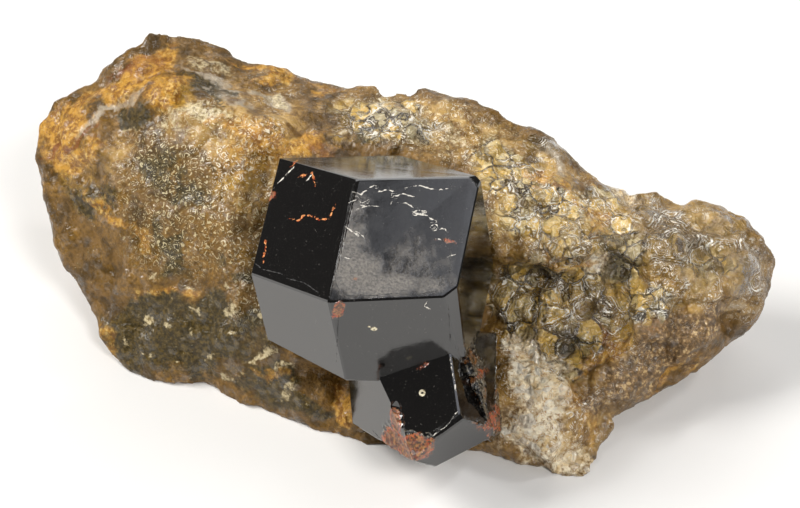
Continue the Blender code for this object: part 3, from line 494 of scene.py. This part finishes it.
# Lines on the crystal faces, each as points (across, up).
CHIPS = [
    [(-2.6, 5.6), (-2.1, 5.8), (-1.7, 5.6)], [(-1.8, 5.3), (-1.1, 5.4), (-0.5, 5.3)], [(-0.5, 4.9), (0.3, 5.1), (1.0, 4.9)],
    [(0.0, 4.3), (0.5, 4.3), (1.0, 4.0)], [(1.2, 3.6), (1.7, 3.7), (2.1, 3.6)], [(1.3, 3.3), (1.8, 3.4), (2.3, 3.2)],
    [(2.3, 3.2), (2.6, 3.0), (2.9, 2.9)], [(2.7, 2.4), (3.1, 2.6), (3.2, 2.2)], [(3.0, 2.0), (3.6, 2.2), (3.9, 2.0)],
    [(-4.1, 4.4), (-3.6, 4.6), (-3.2, 4.3), (-2.8, 4.5)], [(-3.4, 3.8), (-2.7, 4.1), (-2.0, 4.0)],
    [(-3.8, 5.2), (-3.3, 5.0), (-2.8, 5.4)], [(-0.6, 4.6), (-0.7, 4.4)], [(3.2, 1.3), (3.6, 1.2)],
    [(0.6, 5.7), (1.7, 5.8), (2.8, 5.5), (3.9, 5.5)], [(-4.5, -0.3), (-4.2, -0.4)], [(4.1, -0.2), (4.5, -0.1)],
    [(-4.4, 2.2), (-4.0, 1.9), (-3.6, 1.6)], [(-3.7, 1.9), (-3.3, 1.7), (-3.1, 1.5)], [(-8.1, 6.3), (-7.6, 6.8)],
    [(-11.5, 4.5), (-11.9, 3.0), (-12.2, 1.6), (-12.5, 0.2)], [(-9.2, 7.6), (-10.4, 6.4), (-11.2, 5.6)],
    [(4.3, -9.0), (4.6, -10.6), (4.8, -11.7)], [(3.0, -15.4), (3.7, -14.9), (4.2, -14.4)],
    [(2.2, -4.1), (2.0, -4.4), (2.4, -4.6)], [(4.2, -14.4), (4.6, -13.9), (4.8, -13.6)],
]
STEPS = [
    [(-5.3, -2.4), (-4.9, -3.2), (-4.3, -3.45), (-2.0, -3.45), (-0.6, -3.3), (1.5, -3.4), (3.0, -3.1)],
    [(4.3, 0.2), (4.2, -1.6), (4.0, -2.1), (3.5, -2.3), (3.3, -2.6)], [(-12.5, -0.8), (-11.8, -1.3), (-10.0, -1.7)],
    [(-9.4, -2.1), (-8.0, -2.4), (-7.0, -3.1)], [(-5.1, -5.2), (-5.4, -9.0)], [(-4.2, -14.5), (-3.0, -15.1), (-1.7, -16.2)],
    [(4.1, -4.5), (4.3, -7.5)], [(-3.9, -12.5), (-4.0, -14.3)],
]
# painted reflections: red flashes where light glints back from cracks inside the large garnet
PAINTED_FLASHES = [
    [(-9.3, 3.0), (-8.7, 2.9), (-8.2, 3.3)], [(-8.2, 3.3), (-7.4, 3.2), (-6.8, 2.9), (-6.0, 3.0), (-5.5, 4.0)],
    [(-8.6, 6.7), (-7.6, 7.0), (-7.3, 6.0)], [(-9.0, 8.1), (-9.4, 7.7)], [(-11.8, 4.9), (-11.2, 5.6)],
    [(-11.6, 1.2), (-11.7, -0.6)],
]
# Where the faces are frosted, the red of the broken stone shows (embers, with a painted glow at their thin rims),
# cream sits in pits or it is broken: as for the rock's minerals.
WEAR = {
    "frosted": [
        (-3.6, -1.6, 2.4, 1.9, -5, 1.0), (-1.4, -2.6, 3.6, 1.1, 4, 0.9), (-4.2, 0.8, 1.4, 2.4, -10, 0.7),
        (-3.9, 3.6, 1.5, 1.4, 0, 0.5), (2.4, -2.6, 2.6, 0.9, 4, 0.6), (1.0, -0.6, 2.8, 2.2, 20, 0.42),
        (4.0, -1.2, 1.0, 1.6, 0, 0.3),
    ],
    "ember": [
        (1.2, -16.6, 1.7, 1.3, 10, 1.0), (-0.6, -16.2, 1.0, 1.2, 0, 1.0), (-0.4, -14.2, 0.45, 1.4, 8, 1.0),
        (-5.1, -4.6, 0.5, 0.8, -25, 0.9), (8.4, -14.6, 0.9, 2.0, 0, 0.55), (7.0, -15.2, 0.8, 0.6, 0, 0.5),
        (7.2, -10.4, 0.9, 0.7, 0, 0.5), (2.0, -9.6, 0.6, 0.3, 20, 0.55), (-11.4, 5.0, 0.5, 0.9, -40, 0.6),
        (3.9, 1.1, 1.2, 0.25, -8, 0.45), (-3.8, -2.3, 0.9, 0.5, 0, 0.35), (-13.1, -1.3, 0.35, 0.5, 0, 0.6),
    ],
    "cream": [
        (1.9, -11.9, 0.3, 0.32, 0, 0.95), (-2.2, -6.3, 0.35, 0.2, 0, 0.8), (-2.6, -6.1, 0.2, 0.14, 0, 0.7),
    ],
    "crumbs": [
        (7.6, -12.2, 1.9, 5.2, 8, 1.0), (1.2, -16.6, 2.0, 1.8, 10, 1.0), (-0.6, -16.2, 1.3, 1.8, 0, 1.0),
        (-0.4, -14.2, 0.6, 1.4, 8, 0.8), (7.0, -9.0, 1.8, 2.0, 0, 1.0),
    ],
}


def amounts(places, patches):
    """How much of the patches reaches each place, from 0 to 1."""
    amount = np.zeros(len(places))
    for across, up, half_width, half_height, turn, strength in patches:
        c, s = math.cos(math.radians(turn)), math.sin(math.radians(turn))
        x = ((places[:, 0] - across) * c + (places[:, 1] - up) * s) / half_width
        y = ((places[:, 1] - up) * c - (places[:, 0] - across) * s) / half_height
        amount = np.maximum(amount, np.clip(1.45 - np.sqrt(x * x + y * y), 0.0, 1.0) * strength)
    return amount


def garnet_piece():
    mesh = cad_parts["garnet_crystals"].data.copy()
    bm = bmesh.new()
    bm.from_mesh(mesh)
    bmesh.ops.remove_doubles(bm, verts=bm.verts, dist=1e-7)
    bmesh.ops.dissolve_limit(bm, angle_limit=math.radians(0.4), verts=bm.verts, edges=bm.edges)
    bmesh.ops.triangulate(bm, faces=bm.faces)
    for _ in range(8):
        long_edges = [e for e in bm.edges if e.calc_length() > MARK_GRID * MM]
        if not long_edges:
            break
        bmesh.ops.subdivide_edges(bm, edges=long_edges, cuts=1)
        bmesh.ops.triangulate(bm, faces=[f for f in bm.faces if len(f.verts) > 3])
    bm.normal_update()
    for edge in bm.edges:
        edge.smooth = len(edge.link_faces) == 2 and edge.calc_face_angle() < math.radians(12.0)
    facings = np.array([v.normal for v in bm.verts]) @ np.array(FACE_TO_WORLD)
    likeness = facings @ np.array([Vector(f).normalized() for f in CRYSTAL_FACES]).T
    broken = likeness.max(axis=1) < 0.999
    for face in bm.faces:
        face.smooth = True
    bm.to_mesh(mesh)
    bm.free()

    places = face_places(mesh)
    front = places[:, 2] > 4.0
    crumbs = np.where(broken, amounts(places, WEAR["crumbs"]), 0.0)
    moved = []
    for vert, amount in zip(mesh.vertices, crumbs):
        spot = vert.co / MM
        lift = 0.0
        if amount:
            lift = amount * (facet(spot, CRUMB_SIZE) * 0.22 + noise.fractal(spot / 0.35, 1.0, 2.0, 2) * 0.06)
        moved.append(vert.co + vert.normal * lift * MM)
    mesh.vertices.foreach_set("co", np.clip(np.array(moved), cad_box[0], cad_box[1]).ravel())
    mesh.update()
    marks = {
        "chips": np.where(front, distance_to_lines(places, CHIPS, 0.8), 0.8),
        "steps": np.where(front, distance_to_lines(places, STEPS, 0.8), 0.8),
        "painted_flashes": np.where(front, distance_to_lines(places, PAINTED_FLASHES, 0.8), 0.8),
        "broken": crumbs,
        "satin": (facings @ np.array(SATIN_FACE) > 0.99) * 1.0,
    }
    for name in ("chips", "steps", "painted_flashes"):
        marks[name + "_far"] = np.abs(marks[name])
    for name in ("frosted", "ember", "cream"):
        marks[name] = np.where(places[:, 2] > 2.0, amounts(places, WEAR[name]), 0.0)
    for name, values in marks.items():
        mesh.attributes.new(name, "FLOAT", "POINT").data.foreach_set("value", values.astype(np.float32))
    mesh.materials.clear()
    piece = bpy.data.objects.new("garnet_pair", mesh)
    bpy.context.scene.collection.objects.link(piece)
    return piece


def black_garnet():
    """Almandine garnet, nearly opaque: a black that mirrors what is round it; dull white where it is chipped,
    grey where it is frosted, and deep red and brown where the stone is broken. Light through its thin broken
    rims and from its inner cracks is painted on as an orange glow and red flashes; the pale specks on the
    crumbs are painted glints."""
    made = bpy.data.materials.new("black_garnet")
    made.use_nodes = True
    tree = made.node_tree
    shader = tree.nodes["Principled BSDF"]
    shader.inputs["IOR"].default_value = 1.83
    place = node(tree, "ShaderNodeTexCoord").outputs["Object"]

    def amount(name):
        return node(tree, "ShaderNodeAttribute", attribute_name=name).outputs["Fac"]

    def noise_at(size_mm, detail=4.0, rough=0.6, warp=0.0, where=place):
        return node(tree, "ShaderNodeTexNoise", {
            "Vector": where, "Scale": 1.0 / (size_mm * MM), "Detail": detail, "Roughness": rough,
            "Distortion": warp,
        }).outputs["Fac"]

    def maths(operation, a, b=0.0, clamp=False):
        return node(tree, "ShaderNodeMath", {0: a, 1: b}, operation=operation, use_clamp=clamp).outputs[0]

    def spread(value, low, high, to_low=0.0, to_high=1.0):
        return node(tree, "ShaderNodeMapRange", {
            "Value": value, "From Min": low, "From Max": high, "To Min": to_low, "To Max": to_high,
        }, interpolation_type="SMOOTHSTEP").outputs["Result"]

    def blend(share, below, above):
        mix = node(tree, "ShaderNodeMix", data_type="RGBA")
        for socket, value in zip((mix.inputs[0], mix.inputs[6], mix.inputs[7]), (share, below, above)):
            if isinstance(value, bpy.types.NodeSocket):
                tree.links.new(value, socket)
            else:
                socket.default_value = linear(value) if isinstance(value, str) else value
        return mix.outputs[2]

    fine = noise_at(0.22, 3.0, 0.6)
    middle = noise_at(0.9, 4.0, 0.6)

    def line(name, half_width, wander):
        """A thin line along a mark, its course and its width broken up by noise."""
        wavy = maths("ADD", amount(name), maths("MULTIPLY", maths("SUBTRACT", noise_at(0.5, 3.0), 0.5), wander))
        width = maths("MULTIPLY", spread(noise_at(0.4, 2.0), 0.4, 0.6, 0.02, 1.0), half_width)
        drawn = maths("SUBTRACT", 1.0, spread(maths("DIVIDE", maths("ABSOLUTE", wavy), width), 0.6, 1.3))
        return maths("MULTIPLY", drawn, maths("LESS_THAN", amount(name + "_far"), 0.25))

    def laid(name, wander=0.5, sharp=0.2):
        broken = maths("ADD", amount(name), maths("MULTIPLY", maths("SUBTRACT", middle, 0.5), wander))
        return spread(broken, 0.5 - sharp, 0.5 + sharp)

    chips, steps, painted_flashes = line("chips", 0.055, 0.3), line("steps", 0.05, 0.12), line("painted_flashes", 0.1, 0.4)
    frosted = maths("MULTIPLY", laid("frosted", 0.9, 0.4), amount("satin"))
    ember, cream = laid("ember", 1.3, 0.15), maths("MULTIPLY", laid("cream", 0.5, 0.1), maths("SUBTRACT", 1.0, spread(amount("cream"), 0.85, 0.95)))
    specks = maths("MULTIPLY", spread(noise_at(0.16, 2.0, 0.5), 0.66, 0.74), spread(middle, 0.4, 0.6))

    colour = blend(maths("MULTIPLY", frosted, spread(fine, 0.3, 0.7, 0.2, 0.75)), "#0B0908", "#8A8277")
    colour = blend(maths("MULTIPLY", specks, 0.35), colour, "#8F8B84")
    crushed = spread(amount("broken"), 0.3, 0.7)
    # painted glints: pale specks on the crumbled garnet
    colour = blend(maths("MULTIPLY", crushed, spread(fine, 0.54, 0.6)), colour, "#8E8676")
    colour = blend(maths("MULTIPLY", crushed, spread(middle, 0.54, 0.6)), colour, blend(fine, "#3A1006", "#8A5A28"))
    colour = blend(ember, colour, blend(spread(noise_at(0.3, 4.0, 0.7), 0.42, 0.66), "#2A1206", "#A87840"))
    # painted glow: orange-red light through the thin rims of the broken red patches
    rim = maths("MULTIPLY", ember, maths("SUBTRACT", 1.0, spread(amount("ember"), 0.62, 0.85)))
    glow = maths("MULTIPLY", maths("MAXIMUM", maths("MULTIPLY", rim, 0.7), maths("MULTIPLY", ember, 0.2)), spread(fine, 0.42, 0.56))
    colour = blend(glow, colour, "#C44A0A")
    # painted reflection: red to orange flashes from cracks inside the stone
    colour = blend(painted_flashes, colour, blend(spread(fine, 0.4, 0.6), "#8C2408", "#FFB070"))
    colour = blend(chips, colour, "#E6E0D4")
    colour = blend(cream, colour, blend(spread(fine, 0.35, 0.6), "#8A7A50", "#F2E8C8"))
    colour = blend(maths("MULTIPLY", steps, 0.8), colour, "#050404")
    tree.links.new(colour, shader.inputs["Base Color"])

    satin = maths("MULTIPLY", amount("satin"), spread(noise_at(2.6, 3.0), 0.42, 0.6, 0.08, 0.16))
    rough = maths("ADD", maths("ADD", spread(middle, 0.3, 0.7, 0.05, 0.12), satin), maths("MULTIPLY", frosted, 0.24))
    marked = maths("MAXIMUM", maths("MAXIMUM", chips, cream), maths("MAXIMUM", maths("MULTIPLY", ember, 0.8), steps))
    rough = node(tree, "ShaderNodeMix", {0: marked, 2: rough, 3: 0.5}, data_type="FLOAT").outputs[0]
    tree.links.new(rough, shader.inputs["Roughness"])

    grain = node(tree, "ShaderNodeMapping", {"Vector": place, "Scale": (0.4, 1.0, 1.0)}).outputs[0]
    height = maths("MULTIPLY", noise_at(0.2, 3.0, 0.6, 0.0, grain), spread(frosted, 0.0, 1.0, 0.06, 1.0))
    height = maths("ADD", height, maths("MULTIPLY", chips, 0.8))
    height = maths("SUBTRACT", height, maths("MULTIPLY", steps, 0.8))
    height = maths("ADD", height, maths("MULTIPLY", maths("MAXIMUM", ember, amount("broken")), fine))
    bump = node(tree, "ShaderNodeBump", {"Height": height, "Strength": 0.8, "Distance": 0.06 * MM})
    tree.links.new(bump.outputs[0], shader.inputs["Normal"])
    return made


garnets = garnet_piece()
garnets.data.materials.append(black_garnet())
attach(garnets, "root")
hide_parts("garnet_crystals")

# ---- Table, lights and camera -------------------------------------------------------------------------------
# A white table under soft studio light: the main light is high, behind and to the left, a wide dim panel is
# high on the right, and it is dark round the horizon. The camera looks down at the show face.
CAMERA_DISTANCE = 220.0


def table_paper():
    """Matt white board, with no more than a trace of warmth."""
    made = bpy.data.materials.new("table_paper")
    made.use_nodes = True
    shader = made.node_tree.nodes["Principled BSDF"]
    shader.inputs["Base Color"].default_value = linear("#EDECEA")
    shader.inputs["Roughness"].default_value = 0.9
    shader.inputs["Specular IOR Level"].default_value = 0.1
    return made


bm = bmesh.new()
bmesh.ops.create_grid(bm, x_segments=1, y_segments=1, size=1.5)
table_mesh = bpy.data.meshes.new("table")
bm.to_mesh(table_mesh)
bm.free()
table_mesh.materials.append(table_paper())
table = bpy.data.objects.new("table", table_mesh)
bpy.context.scene.collection.objects.link(table)

target = Vector((0.0, 0.0, FACE_ORIGIN_HEIGHT * MM))


def soft_light(name, place, size, watts, tint):
    lamp = bpy.data.lights.new(name, "AREA")
    lamp.shape = "RECTANGLE"
    lamp.size, lamp.size_y = size
    lamp.energy = watts
    lamp.color = linear(tint)[:3]
    made = bpy.data.objects.new(name, lamp)
    made.location = place
    made.rotation_euler = (target - Vector(place)).to_track_quat("-Z", "Y").to_euler()
    bpy.context.scene.collection.objects.link(made)


soft_light("main_light", (-0.36, 0.02, 0.42), (0.24, 0.24), 2.4, "#FFFDFA")
soft_light("back_light", (-0.05, 0.42, 0.32), (0.50, 0.20), 0.75, "#FFFFFF")
soft_light("front_light", (0.175, -0.29, 0.38), (0.10, 0.10), 1.0, "#FFFDFA")
soft_light("right_panel", (0.43, -0.05, 0.42), (0.28, 0.30), 0.4, "#F2F5FF")
soft_light("left_spark", (-0.42, -0.12, 0.34), (0.05, 0.05), 0.45, "#FFFFFF")
soft_light("front_spark", (0.12, -0.34, 0.46), (0.04, 0.04), 0.2, "#FFFFFF")
soft_light("right_spark", (0.36, 0.12, 0.36), (0.06, 0.06), 0.4, "#FFFFFF")

sky = bpy.data.worlds.new("dark_room")
sky.use_nodes = True
sky.node_tree.nodes["Background"].inputs["Color"].default_value = (1.0, 0.99, 0.97, 1.0)
sky.node_tree.nodes["Background"].inputs["Strength"].default_value = 0.09
bpy.context.scene.world = sky
bpy.context.scene.view_settings.view_transform = "Standard"

lens = bpy.data.cameras.new("camera")
lens.lens = 110.0
lens.sensor_width = 36.0
lens.clip_start = 0.01
camera = bpy.data.objects.new("camera", lens)
camera.matrix_world = Matrix.Translation(
    target + FACE_TO_WORLD @ Vector((0.0, 0.0, CAMERA_DISTANCE * MM))
) @ FACE_TO_WORLD.to_4x4()
bpy.context.scene.collection.objects.link(camera)
bpy.context.scene.camera = camera
